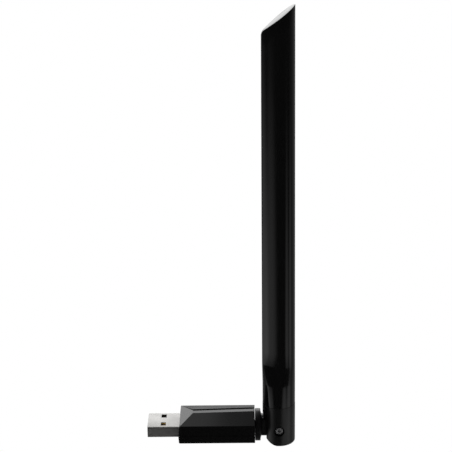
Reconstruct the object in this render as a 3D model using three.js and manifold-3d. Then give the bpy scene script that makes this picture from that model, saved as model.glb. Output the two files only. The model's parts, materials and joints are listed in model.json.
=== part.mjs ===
// High-gain USB wireless adapter: a stick housing with a USB-A plug at the front,
// and a tall blade antenna on a swivel and a folding hinge at the back.
// Millimetres. The origin is the centre of the plug's mouth, +X runs from the plug
// to the antenna, +Z is up, and the antenna stands upright.

import * as THREE from 'three';
import { mergeVertices } from 'three/addons/utils/BufferGeometryUtils.js';
import { ConvexGeometry } from 'three/addons/geometries/ConvexGeometry.js';
import Module from 'manifold-3d';

const wasm = await Module();
wasm.setup();

// ---------------------------------------------------------------- driving sizes

// USB-A plug, to the usual standard
const PLUG_WIDTH = 12.0;
const PLUG_HEIGHT = 4.5;
const PLUG_CORNER = 0.6;
const PLUG_WALL = 0.3;
const PLUG_LENGTH = 17.6;
const WINDOW_START = 5.16;
const WINDOW_LENGTH = 2.0;
const WINDOW_WIDTH = 2.5;
const WINDOW_CENTRE = 3.25;
const CONTACT_CENTRES = [-3.5, -1.0, 1.0, 3.5];

// Housing: flat sides, and a roof with a narrow spine and a sloped front
const BODY_FRONT = 12.2;
const BODY_BACK = 42.2;
const BODY_HALF_WIDTH = 9.0;
const BODY_BOTTOM = -3.62;
const SEAM = -0.2;
const SHOULDER = 3.98;
const SPINE_FRONT_X = 17.75;
const SPINE_FRONT = 6.1;
const SPINE_BACK = 6.75;
const SPINE_HALF_WIDTH = 1.5;
const SPINE_BACK_SETBACK = 0.35;
const CENTRE_SINK = 0.35;
const FRONT_LEAN = 0.5;
const SIDE_DRAFT = 0.3;
const WALL = 1.2;
const SEAM_GAP = 0.05;
const FLOOR_THICKNESS = 1.02;

// Circuit board and what it carries
const BOARD_FRONT = 17.8;
const BOARD_BACK = 38.2;
const BOARD_HALF_WIDTH = 7.2;
const BOARD_TOP = -0.8;
const BOARD_THICKNESS = 0.8;
const POST_PLACES = [[21.0, -5.7], [21.0, 5.7], [35.8, -5.7], [35.8, 5.7]];
const POST_RADIUS = 0.9;
const POST_SOCKET_RADIUS = 1.6;
const POST_TOP = 2.4;
const POST_FIT = 0.15;

// Swivel: it turns about the X axis in the housing's back wall
const NECK_RADIUS = 1.8;
const FLANGE_RADIUS = 2.55;
const FLANGE_FRONT = 38.8;
const FLANGE_THICKNESS = 1.2;
const LUG_RADIUS = 3.1;
const COLLAR_RADIUS = 6.35;
const COLLAR_FRONT = 42.3;
const COLLAR_BACK = 44.4;
const HUB_RADIUS = 4.4;
const TONGUE_THICKNESS = 5.6;
const TONGUE_END_RADIUS = 4.7;
const CABLE_BORE_RADIUS = 0.85;

// Hinge: the antenna folds about the pin, which runs along Y
const PIN_X = 51.68;
const PIN_RADIUS = 1.45;
const PIN_HALF_LENGTH = 5.8;
const RECESS_RADIUS = 2.1;
const RECESS_FLOOR = 5.3;
const SLOT_HALF_WIDTH = 3.2;
const SLOT_DEPTH = 5.1;
const RUNNING_GAP = 0.3;
const EAR_FACE = 9.0;

// Antenna: a round foot that turns into a teardrop blade with a slanted top
const FOOT_RADIUS = 6.4;
const FOOT_TOP = 10.0;
const SPIGOT_RADIUS = 4.5;
const SPIGOT_TOP = 19.0;
const SLEEVE_RADIUS = 6.36;
const RAMP_BOTTOM = 19.5;
const RAMP_TOP = 26.5;
const BLADE_LEFT = [-6.5, -6.35];
const BLADE_NOSE_RADIUS = 1.5;
const BLADE_BACK_RADIUS = [4.8, 4.6];
const BLADE_RIGHT = [6.32, 5.89];
const BLADE_WALL = 1.05;
const TIP = 167.2;
const CHISEL_SLOPE = 0.8;
const CHISEL_CORNER = 156.5;
const CHISEL_CORNER_SLOPE = 2.4;

// Inside the antenna
const COAX_RADIUS = 0.6;
const BALUN_BOTTOM = 30.0;
const BALUN_TOP = 58.0;
const COIL_BOTTOM = 86.0;
const COIL_TURNS = 4;
const COIL_PITCH = 2.6;
const COIL_RADIUS = 1.7;
const WIRE_RADIUS = 0.45;
const WIRE_TOP = 150.0;
const BALUN_RADIUS = 1.9;
const BALUN_BORE_RADIUS = 1.5;
const FOAM_RADIUS = 2.7;

// Clearances: how far a cutting solid runs past the face it cuts, and a cable's room
const PAST = 1.0;
const CABLE_FIT = 0.15;

// ---------------------------------------------------------------- solids

function solid(geometry) {
  geometry.deleteAttribute('normal');
  geometry.deleteAttribute('uv');
  const merged = mergeVertices(geometry, 1e-4);
  const vertProperties = new Float32Array(merged.attributes.position.array);
  const triVerts = new Uint32Array(merged.index.array);
  return new wasm.Manifold(new wasm.Mesh({ numProp: 3, vertProperties, triVerts }));
}

const join = (first, ...others) => others.reduce((sum, other) => sum.add(other), first);
const cut = (first, ...others) => others.reduce((rest, other) => rest.subtract(other), first);

// A box between two values on each axis
function box(x, y, z) {
  const geometry = new THREE.BoxGeometry(x[1] - x[0], y[1] - y[0], z[1] - z[0]);
  geometry.translate((x[0] + x[1]) / 2, (y[0] + y[1]) / 2, (z[0] + z[1]) / 2);
  return solid(geometry);
}

// A rod along one axis, from one value to another, centred on the other two
function rod(axis, span, radius, centre = [0, 0], sides = 24) {
  const geometry = new THREE.CylinderGeometry(radius, radius, span[1] - span[0], sides);
  const middle = (span[0] + span[1]) / 2;
  if (axis === 'x') {
    geometry.rotateZ(Math.PI / 2);
    geometry.translate(middle, centre[0], centre[1]);
  } else if (axis === 'y') {
    geometry.translate(centre[0], middle, centre[1]);
  } else {
    geometry.rotateX(Math.PI / 2);
    geometry.translate(centre[0], centre[1], middle);
  }
  return solid(geometry);
}

// The convex solid round a list of [x, y, z] corners
function hull(corners) {
  return solid(new ConvexGeometry(corners.map((corner) => new THREE.Vector3(...corner))));
}

// The same, with each [x, y, z] corner also mirrored to -y
function twinHull(corners) {
  return hull(corners.flatMap(([x, y, z]) => [[x, y, z], [x, -y, z]]));
}

// An outline in the X-Z plane, given a thickness along Y
function sidePlate(outline, y) {
  const shape = new THREE.Shape(outline.map(([x, z]) => new THREE.Vector2(x, z)));
  const geometry = new THREE.ExtrudeGeometry(shape, { depth: y[1] - y[0], bevelEnabled: false });
  geometry.rotateX(Math.PI / 2);
  geometry.translate(0, y[1], 0);
  return solid(geometry);
}

// A turned solid about the X axis, from [x, radius] points
function turnedAboutX(profile, sides = 40) {
  const points = profile.map(([x, radius]) => new THREE.Vector2(radius, x));
  const geometry = new THREE.LatheGeometry(points, sides);
  geometry.rotateZ(-Math.PI / 2);
  return solid(geometry);
}

// ---------------------------------------------------------------- materials

const finish = (color, roughness, metalness) => (
  new THREE.MeshStandardMaterial({ color, roughness, metalness }));

const MATERIALS = {
  glossBlack: finish(0x0b0b0c, 0.22, 0),
  satinBlack: finish(0x121213, 0.45, 0),
  nickel: finish(0xc9c8c4, 0.28, 1),
  steel: finish(0xb8b8b8, 0.3, 1),
  whitePlastic: finish(0xe8e6df, 0.5, 0),
  gold: finish(0xd9b25a, 0.3, 1),
  board: finish(0x1f5b34, 0.45, 0),
  chip: finish(0x1a1a1c, 0.5, 0),
  tin: finish(0xb9bcbf, 0.35, 1),
  ceramic: finish(0xa88a66, 0.5, 0),
  brass: finish(0xb08d4a, 0.35, 1),
  copper: finish(0xb2683d, 0.35, 1),
  cable: finish(0x2a2a2c, 0.5, 0),
  foam: finish(0xdfddd6, 0.9, 0),
  acetal: finish(0xd8d8d2, 0.45, 0),
};

// ---------------------------------------------------------------- the object

const adapter = new THREE.Group();
const antenna = new THREE.Group();
antenna.position.set(PIN_X, 0, 0);
adapter.add(antenna);

function addPart(name, shape, material, parent = adapter) {
  const { numProp, vertProperties, triVerts } = shape.getMesh();
  if (numProp !== 3) throw new Error(`${name}: unexpected vertex layout`);
  const geometry = new THREE.BufferGeometry();
  geometry.setAttribute('position', new THREE.BufferAttribute(vertProperties, 3));
  geometry.setIndex(new THREE.BufferAttribute(triVerts, 1));
  geometry.computeVertexNormals();
  const mesh = new THREE.Mesh(geometry, MATERIALS[material]);
  mesh.name = name;
  parent.add(mesh);
}

// ---------------------------------------------------------------- USB plug

// A rectangle with round corners, in the Y-Z plane, run along X
function roundedBar(x, halfWidth, halfHeight, corner) {
  const shape = new THREE.Shape();
  shape.moveTo(halfWidth, halfHeight - corner);
  shape.absarc(halfWidth - corner, halfHeight - corner, corner, 0, Math.PI / 2);
  shape.absarc(corner - halfWidth, halfHeight - corner, corner, Math.PI / 2, Math.PI);
  shape.absarc(corner - halfWidth, corner - halfHeight, corner, Math.PI, 1.5 * Math.PI);
  shape.absarc(halfWidth - corner, corner - halfHeight, corner, 1.5 * Math.PI, 2 * Math.PI);
  const options = { depth: x[1] - x[0], bevelEnabled: false, curveSegments: 4 };
  const geometry = new THREE.ExtrudeGeometry(shape, options);
  geometry.applyMatrix4(new THREE.Matrix4().makeBasis(
    new THREE.Vector3(0, 1, 0), new THREE.Vector3(0, 0, 1), new THREE.Vector3(1, 0, 0)));
  geometry.translate(x[0], 0, 0);
  return solid(geometry);
}

function plugShell() {
  const halfWidth = PLUG_WIDTH / 2;
  const halfHeight = PLUG_HEIGHT / 2;
  const outside = roundedBar([0, PLUG_LENGTH], halfWidth, halfHeight, PLUG_CORNER);
  const inside = roundedBar(
    [-PAST, PLUG_LENGTH + PAST], halfWidth - PLUG_WALL, halfHeight - PLUG_WALL, PLUG_CORNER - PLUG_WALL);
  const windows = [-1, 1].map((side) => {
    const middle = side * WINDOW_CENTRE;
    const y = [middle - WINDOW_WIDTH / 2, middle + WINDOW_WIDTH / 2];
    return box([WINDOW_START, WINDOW_START + WINDOW_LENGTH], y, [-PLUG_HEIGHT, PLUG_HEIGHT]);
  });
  return cut(outside, inside, ...windows);
}

const CONTACT_HALF_WIDTH = 0.5;
const CONTACT_THICKNESS = 0.2;
const CONTACT_FRONT = 1.4;
const CONTACT_LIFT = 0.06;
const CONTACT_SLOT_HALF_WIDTH = 0.6;
const CONTACT_SLOT_HEIGHT = 0.4;
const INSULATOR_FRONT = 0.5;
const INSULATOR_FIT = 0.1;
const BLOCK_FRONT = 12.6;
const SOLDER = BOARD_TOP + 0.03;

// The tongue under the contacts, and the solid block behind the mouth
function plugInsulator() {
  const innerHalf = PLUG_WIDTH / 2 - PLUG_WALL - INSULATOR_FIT;
  const innerTop = PLUG_HEIGHT / 2 - PLUG_WALL - INSULATOR_FIT;
  const tongue = box([INSULATOR_FRONT, PLUG_LENGTH], [-innerHalf, innerHalf], [-innerTop, 0]);
  const block = box([BLOCK_FRONT, PLUG_LENGTH], [-innerHalf, innerHalf], [-innerTop, innerTop]);
  const slots = CONTACT_CENTRES.map((y) => box(
    [BLOCK_FRONT - PAST, PLUG_LENGTH + PAST],
    [y - CONTACT_SLOT_HALF_WIDTH, y + CONTACT_SLOT_HALF_WIDTH], [0, CONTACT_SLOT_HEIGHT]));
  return cut(join(tongue, block), ...slots);
}

// One contact: flat along the tongue, through the block, then down to the board
function contact(y) {
  const top = CONTACT_LIFT + CONTACT_THICKNESS;
  const bend = PLUG_LENGTH + 0.6;
  const dropRun = 0.5;
  const innerBend = 0.15;
  const end = bend + 1.8;
  const footTop = SOLDER + CONTACT_THICKNESS;
  const outline = [
    [CONTACT_FRONT, CONTACT_LIFT], [bend, CONTACT_LIFT], [bend + dropRun, SOLDER], [end, SOLDER],
    [end, footTop], [bend + dropRun + innerBend, footTop],
    [bend + innerBend, top], [CONTACT_FRONT, top],
  ];
  return sidePlate(outline, [y - CONTACT_HALF_WIDTH, y + CONTACT_HALF_WIDTH]);
}

addPart('plug_shell', plugShell(), 'nickel');
addPart('plug_insulator', plugInsulator(), 'whitePlastic');
CONTACT_CENTRES.forEach((y, index) => addPart(`contact_${index + 1}`, contact(y), 'gold'));

// ---------------------------------------------------------------- housing shells

// The opening in the front wall, round the plug
const PLUG_FIT = 0.1;
const plugOpening = () => roundedBar(
  [BODY_FRONT - PAST, BODY_FRONT + WALL + PAST],
  PLUG_WIDTH / 2 + PLUG_FIT, PLUG_HEIGHT / 2 + PLUG_FIT, PLUG_CORNER + PLUG_FIT);

// The round seat in the back wall, where the swivel's neck turns
const neckSeat = () => (
  rod('x', [BODY_BACK - WALL - PAST, BODY_BACK + PAST], NECK_RADIUS + RUNNING_GAP));

const LIP_WALL = 0.5;
const LIP_HEIGHT = 0.8;
const LIP_DEPTH = 0.6;
const LIP_FIT = 0.1;

// The lower shell's raised lip, which the upper shell's rebate takes
function lip(spare) {
  const outer = WALL - LIP_WALL - spare;
  const x = [BODY_FRONT + outer, BODY_BACK - outer];
  const y = BODY_HALF_WIDTH - outer;
  const ring = box(x, [-y, y], [SEAM - LIP_DEPTH, SEAM + LIP_HEIGHT + spare]);
  const inset = WALL + LIP_FIT;
  const hole = BODY_HALF_WIDTH - inset;
  return cut(ring, box([BODY_FRONT + inset, BODY_BACK - inset], [-hole, hole], [-3, 3]));
}

// The roof's centre band is sunk between its two slopes: full depth along the spine,
// running out to nothing at the front edge
function sunkCentre() {
  const rise = (SPINE_BACK - SPINE_FRONT) / (BODY_BACK - SPINE_BACK_SETBACK - SPINE_FRONT_X);
  const end = BODY_BACK + PAST;
  const low = SPINE_FRONT - CENTRE_SINK;
  const lowEnd = low + rise * (end - SPINE_FRONT_X);
  const above = SPINE_BACK + PAST;
  const frontX = BODY_FRONT + FRONT_LEAN;
  const frontHalf = BODY_HALF_WIDTH - SIDE_DRAFT;
  const hip = twinHull([
    [frontX, frontHalf, SHOULDER], [frontX, frontHalf, above],
    [SPINE_FRONT_X, SPINE_HALF_WIDTH, low], [SPINE_FRONT_X, SPINE_HALF_WIDTH, above],
  ]);
  const spine = twinHull([
    [SPINE_FRONT_X, SPINE_HALF_WIDTH, low], [SPINE_FRONT_X, SPINE_HALF_WIDTH, above],
    [end, SPINE_HALF_WIDTH, lowEnd], [end, SPINE_HALF_WIDTH, above],
  ]);
  return join(hip, spine);
}

function upperShell() {
  const half = BODY_HALF_WIDTH;
  const seam = SEAM + SEAM_GAP;
  const outside = twinHull([
    [BODY_FRONT, half, seam], [BODY_BACK, half, seam],
    [BODY_FRONT + FRONT_LEAN, half - SIDE_DRAFT, SHOULDER],
    [BODY_BACK, half - SIDE_DRAFT, SHOULDER],
    [SPINE_FRONT_X, SPINE_HALF_WIDTH, SPINE_FRONT],
    [BODY_BACK - SPINE_BACK_SETBACK, SPINE_HALF_WIDTH, SPINE_BACK],
  ]);
  const roofWall = 0.95;
  const innerHalf = half - SIDE_DRAFT - WALL;
  const innerSpine = SPINE_HALF_WIDTH - 0.3;
  const inside = twinHull([
    [BODY_FRONT + WALL, half - WALL, SEAM - 1], [BODY_BACK - WALL, half - WALL, SEAM - 1],
    [BODY_FRONT + 0.6 + WALL, innerHalf, SHOULDER - roofWall],
    [BODY_BACK - WALL, innerHalf, SHOULDER - roofWall],
    [SPINE_FRONT_X + 0.6, innerSpine, SPINE_FRONT - WALL],
    [BODY_BACK - SPINE_BACK_SETBACK - WALL, innerSpine, SPINE_BACK - WALL],
  ]);
  const rebate = lip(LIP_FIT);
  const sockets = POST_PLACES.map((place) => (
    rod('z', [BOARD_TOP + 0.1, SHOULDER - 0.1], POST_SOCKET_RADIUS, place, 16)));
  const bores = POST_PLACES.map((place) => (
    rod('z', [BOARD_TOP - 1.2, POST_TOP + 0.2], POST_RADIUS + POST_FIT, place, 16)));
  const shell = cut(outside, inside, rebate);
  return cut(join(shell, ...sockets), ...bores, sunkCentre(), plugOpening(), neckSeat());
}

function lowerShell() {
  const half = BODY_HALF_WIDTH;
  const seam = SEAM - SEAM_GAP;
  const floor = BODY_BOTTOM + FLOOR_THICKNESS;
  const bevelTop = BODY_BOTTOM + 0.4;
  const bevelHalf = half - 0.12;
  const soleHalf = half - 0.5;
  const outside = twinHull([
    [BODY_FRONT, half, seam], [BODY_BACK, half, seam],
    [BODY_FRONT + 0.2, bevelHalf, bevelTop], [BODY_BACK - 0.05, bevelHalf, bevelTop],
    [BODY_FRONT + 0.5, soleHalf, BODY_BOTTOM], [BODY_BACK - 0.4, soleHalf, BODY_BOTTOM],
  ]);
  const inside = box(
    [BODY_FRONT + WALL, BODY_BACK - WALL], [WALL - half, half - WALL], [floor, SEAM + 3]);
  const flangePocket = rod('x', [FLANGE_FRONT - 0.5, BODY_BACK - WALL + 0.01], FLANGE_RADIUS + 0.3);
  const root = floor - 0.2;
  const restTop = BOARD_TOP - BOARD_THICKNESS - 0.05;
  const rests = POST_PLACES.map((place) => (
    rod('z', [root, restTop], POST_SOCKET_RADIUS, place, 16)));
  const posts = POST_PLACES.map((place) => (
    rod('z', [root, POST_TOP], POST_RADIUS, place, 16)));
  const shell = cut(outside, inside, flangePocket);
  return cut(join(shell, lip(0), ...rests, ...posts), plugOpening(), neckSeat());
}

addPart('upper_shell', upperShell(), 'glossBlack');
addPart('lower_shell', lowerShell(), 'glossBlack');

// ---------------------------------------------------------------- circuit board

// The chips and parts that stand on the board: each one's plan and its top
const RADIO_CHIP = { x: [25.6, 30.6], y: [-2.5, 2.5], top: 0.1 };
const CRYSTAL = { x: [33.2, 34.6], y: [-4.8, -2.4], top: -0.1 };
const REGULATOR = { x: [20.6, 23.0], y: [2.2, 4.0], top: 0.2 };
const CAN = { x: [23.6, 32.4], y: [-4.6, 4.6], top: 1.0 };
const CAN_WALL = 0.2;
const INDUCTOR_BASE = { x: [20.9, 23.0], y: [-1.5, 1.5], top: SOLDER + 0.3 };
const INDUCTOR_DRUM_RADIUS = 1.0;
const INDUCTOR_TOP = SOLDER + 1.2;
const CLAMP = { x: [35.0, 37.2], y: [-1.3, 1.3], top: 0.95 };
const CAPACITOR_PLACES = [[21.0, -3.6], [22.4, -3.6], [33.2, 2.2], [33.2, 4.0]];
const CAPACITOR_SIZE = [0.8, 1.6];
const CAPACITOR_TOP = -0.1;

const onBoard = ({ x, y, top }) => box(x, y, [SOLDER, top]);

function circuitBoard() {
  const y = [-BOARD_HALF_WIDTH, BOARD_HALF_WIDTH];
  const sheet = box([BOARD_FRONT, BOARD_BACK], y, [BOARD_TOP - BOARD_THICKNESS, BOARD_TOP]);
  const holes = POST_PLACES.map((place) => rod('z', [-3, 1], POST_RADIUS + POST_FIT, place, 16));
  return cut(sheet, ...holes);
}

// A folded tin cover, open underneath, over the radio chip
function shieldCan() {
  const inside = ([low, high]) => [low + CAN_WALL, high - CAN_WALL];
  const room = box(inside(CAN.x), inside(CAN.y), [SOLDER - PAST, CAN.top - CAN_WALL]);
  return cut(onBoard(CAN), room);
}

function powerInductor() {
  const centre = [(INDUCTOR_BASE.x[0] + INDUCTOR_BASE.x[1]) / 2, 0];
  const drum = rod('z', [SOLDER + 0.1, INDUCTOR_TOP], INDUCTOR_DRUM_RADIUS, centre, 16);
  return join(onBoard(INDUCTOR_BASE), drum);
}

// A small saddle that holds the coax cable's shield on the board
function coaxClamp() {
  const through = [CLAMP.x[0] - PAST, CLAMP.x[1] + PAST];
  const halfBore = COAX_RADIUS + 0.1;
  const bore = rod('x', through, halfBore);
  return cut(onBoard(CLAMP), bore, box(through, [-halfBore, halfBore], [-2, 0]));
}

addPart('circuit_board', circuitBoard(), 'board');
addPart('radio_chip', onBoard(RADIO_CHIP), 'chip');
addPart('shield_can', shieldCan(), 'tin');
addPart('crystal', onBoard(CRYSTAL), 'tin');
addPart('voltage_regulator', onBoard(REGULATOR), 'chip');
addPart('power_inductor', powerInductor(), 'chip');
CAPACITOR_PLACES.forEach(([x, y], index) => {
  const plan = { x: [x, x + CAPACITOR_SIZE[0]], y: [y, y + CAPACITOR_SIZE[1]] };
  addPart(`capacitor_${index + 1}`, onBoard({ ...plan, top: CAPACITOR_TOP }), 'ceramic');
});
addPart('coax_clamp', coaxClamp(), 'brass');
const housingCoax = rod('x', [CLAMP.x[0] - 0.8, FLANGE_FRONT - 0.4], COAX_RADIUS, [0, 0], 12);
addPart('coax_in_housing', housingCoax, 'cable');

// ---------------------------------------------------------------- swivel

const RIM_CHAMFER = 0.25;
const CONE_LENGTH = 0.35;
const CONE_FLARE = 1.1;
const HUB_LENGTH = 2.2;
const LUG_HALF_WIDTH = 0.6;
const LUG_ROOT = 1.5;
const NUB_RADIUS = 0.95;
const NUB_CENTRE = [COLLAR_BACK + 1.15, -2.05, 3.25];
const SWEEP_GAP = 0.35;
const CHANNEL_START = 46.8;
const CHANNEL_HALF_WIDTH = 0.9;
const COAX_END_IN_SWIVEL = 47.6;

// The part that turns about X: flange, neck, collar, hub and hinge tongue in one moulding
function swivelBase() {
  const flangeBack = FLANGE_FRONT + FLANGE_THICKNESS;
  const turned = turnedAboutX([
    [FLANGE_FRONT, 0], [FLANGE_FRONT, FLANGE_RADIUS], [flangeBack, FLANGE_RADIUS],
    [flangeBack, NECK_RADIUS], [COLLAR_FRONT, NECK_RADIUS],
    [COLLAR_FRONT, COLLAR_RADIUS - RIM_CHAMFER], [COLLAR_FRONT + RIM_CHAMFER, COLLAR_RADIUS],
    [COLLAR_BACK - RIM_CHAMFER, COLLAR_RADIUS], [COLLAR_BACK, COLLAR_RADIUS - RIM_CHAMFER],
    [COLLAR_BACK, HUB_RADIUS + CONE_FLARE], [COLLAR_BACK + CONE_LENGTH, HUB_RADIUS],
    [COLLAR_BACK + HUB_LENGTH, HUB_RADIUS], [COLLAR_BACK + HUB_LENGTH, 0],
  ]);
  const lugY = [-LUG_HALF_WIDTH, LUG_HALF_WIDTH];
  const lug = box([FLANGE_FRONT, flangeBack], lugY, [LUG_ROOT, LUG_RADIUS]);
  const tongueHalf = TONGUE_THICKNESS / 2;
  const tongueY = [-tongueHalf, tongueHalf];
  const bar = rod('x', [COLLAR_BACK, PIN_X - 1], HUB_RADIUS, [0, 0], 40);
  const slab = box([COLLAR_BACK, PIN_X], tongueY, [-HUB_RADIUS, HUB_RADIUS]);
  const roundEnd = rod('y', tongueY, TONGUE_END_RADIUS, [PIN_X, 0], 40);
  const nub = solid(new THREE.SphereGeometry(NUB_RADIUS, 12, 8).translate(...NUB_CENTRE));
  const sweep = FOOT_RADIUS + SWEEP_GAP;
  const scallops = [-1, 1].map((side) => {
    const y = side < 0 ? [-8, -tongueHalf] : [tongueHalf, 8];
    return join(rod('y', y, sweep, [PIN_X, 0], 48), box([PIN_X - sweep, PIN_X], y, [-9, 0]));
  });
  const cableBore = rod('x', [FLANGE_FRONT - PAST, PIN_X], CABLE_BORE_RADIUS, [0, 0], 12);
  const channelY = [-CHANNEL_HALF_WIDTH, CHANNEL_HALF_WIDTH];
  const cableChannel = box([CHANNEL_START, PIN_X + 7], channelY, [0, 7]);
  const pinHole = rod('y', [-8, 8], PIN_RADIUS + RUNNING_GAP, [PIN_X, 0]);
  const body = cut(join(turned, lug), ...scallops);
  const tongue = join(bar.intersect(slab), roundEnd);
  return cut(join(body, tongue, nub), cableBore, cableChannel, pinHole);
}

const washerX = FLANGE_FRONT + FLANGE_THICKNESS + 0.3;
const SWIVEL_WASHER_THICKNESS = 0.4;
const swivelWasher = cut(
  rod('x', [washerX, washerX + SWIVEL_WASHER_THICKNESS], FLANGE_RADIUS),
  rod('x', [washerX - PAST, washerX + PAST], NECK_RADIUS + 0.2));

addPart('swivel_base', swivelBase(), 'satinBlack');
addPart('swivel_washer', swivelWasher, 'acetal');
const swivelCoax = rod('x', [FLANGE_FRONT + 0.1, COAX_END_IN_SWIVEL], COAX_RADIUS, [0, 0], 12);
addPart('coax_in_swivel', swivelCoax, 'cable');

// ---------------------------------------------------------------- hinge
// From here on the parts stand in the antenna's own frame, with the pin at its origin.

const DIMPLE_RADIUS = 0.55;
const DIMPLE_DEPTH = 1.0;
const PIN_FIT = 0.1;

function hingePin() {
  const span = [-PIN_HALF_LENGTH, PIN_HALF_LENGTH];
  const dimples = [-1, 1].map((side) => {
    const outer = side * (PIN_HALF_LENGTH + PAST);
    const inner = side * (PIN_HALF_LENGTH - DIMPLE_DEPTH);
    const dimpleY = [Math.min(outer, inner), Math.max(outer, inner)];
    return rod('y', dimpleY, DIMPLE_RADIUS, [0, 0], 12);
  });
  return cut(rod('y', span, PIN_RADIUS), ...dimples);
}

const WASHER_THICKNESS = 0.5;
const WASHER_RADIUS = 3.3;

function hingeWasher(side) {
  const near = side * (TONGUE_THICKNESS / 2 + RUNNING_GAP);
  const far = near + side * WASHER_THICKNESS;
  const span = [Math.min(near, far), Math.max(near, far)];
  return cut(
    rod('y', span, WASHER_RADIUS), rod('y', [-EAR_FACE, EAR_FACE], PIN_RADIUS + PIN_FIT));
}

// What is cut from the foot's plug side, so that the ears clear the hub: X and Z
const EAR_RELIEF = [[-9, -9], [-5.08, -9], [-4.83, 2.8], [-6.48, 5.9], [-9, 6.4]];

// The round foot with two ears, and the spigot that plugs into the sleeve
function hingeFork() {
  const foot = rod('z', [-FOOT_RADIUS, FOOT_TOP], FOOT_RADIUS, [0, 0], 48);
  const spigot = rod('z', [FOOT_TOP - PAST, SPIGOT_TOP], SPIGOT_RADIUS, [0, 0], 32);
  const across = [-EAR_FACE, EAR_FACE];
  const frontCorner = cut(
    box([-EAR_FACE, 0], across, [-EAR_FACE, 0]), rod('y', [-10, 10], FOOT_RADIUS, [0, 0], 64));
  const relief = sidePlate(EAR_RELIEF, across);
  const slotY = [-SLOT_HALF_WIDTH, SLOT_HALF_WIDTH];
  const slot = box([-EAR_FACE, SLOT_DEPTH], slotY, [-EAR_FACE, SLOT_DEPTH]);
  const bedHalf = SLOT_HALF_WIDTH + 0.7;
  const washerBed = rod('y', [-bedHalf, bedHalf], WASHER_RADIUS + RUNNING_GAP);
  const pinHole = rod('y', across, PIN_RADIUS + PIN_FIT);
  const recesses = [[-EAR_FACE, -RECESS_FLOOR], [RECESS_FLOOR, EAR_FACE]].map((y) => (
    rod('y', y, RECESS_RADIUS)));
  const hollowFloor = FOOT_TOP + 2;
  const cableBore = rod('z', [SLOT_DEPTH - PAST, hollowFloor + PAST], 1.5, [0, 0], 16);
  const hollow = rod('z', [hollowFloor, SPIGOT_TOP + PAST], SPIGOT_RADIUS - WALL);
  return cut(
    join(foot, spigot), frontCorner, relief, slot, washerBed, pinHole, ...recesses,
    cableBore, hollow);
}

addPart('hinge_pin', hingePin(), 'steel', antenna);
addPart('hinge_washer_near', hingeWasher(-1), 'acetal', antenna);
addPart('hinge_washer_far', hingeWasher(1), 'acetal', antenna);
addPart('hinge_fork', hingeFork(), 'satinBlack', antenna);

// ---------------------------------------------------------------- antenna sleeve

const mix = (pair, share) => pair[0] + (pair[1] - pair[0]) * share;

// The blade's section at a share of its height: a small nose circle towards the plug
// and a large back circle, with the tangents between them. inset makes the cavity's.
function bladeSection(share, inset) {
  const noseX = mix(BLADE_LEFT, share) + BLADE_NOSE_RADIUS;
  const nose = { radius: BLADE_NOSE_RADIUS - inset, x: noseX };
  const backRadius = mix(BLADE_BACK_RADIUS, share);
  const back = { radius: backRadius - inset, x: mix(BLADE_RIGHT, share) - backRadius };
  const turn = Math.acos((backRadius - BLADE_NOSE_RADIUS) / (back.x - nose.x));
  const points = [];
  const backSteps = 18;
  for (let step = 0; step <= backSteps; step += 1) {
    const angle = (Math.PI - turn) * (2 * step / backSteps - 1);
    points.push([back.x + back.radius * Math.cos(angle), back.radius * Math.sin(angle)]);
  }
  const noseSteps = 8;
  for (let step = 0; step <= noseSteps; step += 1) {
    const angle = Math.PI - turn * (2 * step / noseSteps - 1);
    points.push([nose.x + nose.radius * Math.cos(angle), nose.radius * Math.sin(angle)]);
  }
  return points;
}

// The slanted top, with its low corner eased
const chiselHeight = (x) => Math.min(
  TIP + CHISEL_SLOPE * (x - BLADE_RIGHT[1]),
  CHISEL_CORNER + CHISEL_CORNER_SLOPE * (x - BLADE_LEFT[1]));

const circle = (radius, z, sides) => Array.from({ length: sides }, (_, index) => {
  const angle = 2 * Math.PI * index / sides;
  return [radius * Math.cos(angle), radius * Math.sin(angle), z];
});

const TOP_WALL = 1.8;

function antennaSleeve() {
  const foot = rod('z', [FOOT_TOP + SEAM_GAP, RAMP_BOTTOM], SLEEVE_RADIUS, [0, 0], 48);
  const ramp = hull([
    ...circle(SLEEVE_RADIUS, RAMP_BOTTOM - 0.5, 48),
    ...bladeSection(0, 0).map(([x, y]) => [x, y, RAMP_TOP + 0.5]),
  ]);
  const blade = hull([
    ...bladeSection(0, 0).map(([x, y]) => [x, y, RAMP_TOP]),
    ...bladeSection(1, 0).map(([x, y]) => [x, y, chiselHeight(x)]),
  ]);
  const socketZ = [FOOT_TOP - PAST, RAMP_BOTTOM + PAST];
  const socket = rod('z', socketZ, SPIGOT_RADIUS + CABLE_FIT, [0, 0], 32);
  const cavity = hull([
    ...bladeSection(0, BLADE_WALL).map(([x, y]) => [x, y, RAMP_BOTTOM]),
    ...bladeSection(1, BLADE_WALL).map(([x, y]) => [x, y, chiselHeight(x) - TOP_WALL]),
  ]);
  return cut(join(foot, ramp, blade), socket, cavity);
}

addPart('antenna_sleeve', antennaSleeve(), 'glossBlack', antenna);

// ---------------------------------------------------------------- inside the antenna

const BALUN_CAP = 0.6;

// A brass tube with a closed top: the lower half of the dipole
function balunTube() {
  const tube = rod('z', [BALUN_BOTTOM, BALUN_TOP], BALUN_RADIUS);
  return cut(
    tube, rod('z', [BALUN_BOTTOM - PAST, BALUN_TOP - BALUN_CAP], BALUN_BORE_RADIUS),
    rod('z', [BALUN_TOP - PAST, BALUN_TOP + PAST], COAX_RADIUS + CABLE_FIT, [0, 0], 12));
}

// The upper half: a straight wire, a phasing coil and a second straight wire
const LEAD_SHARE = 0.1;
const COIL_LEAD = 2.5;
const COIL_EASE = 0.12;
const COIL_TOP = COIL_BOTTOM + COIL_TURNS * COIL_PITCH;

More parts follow.
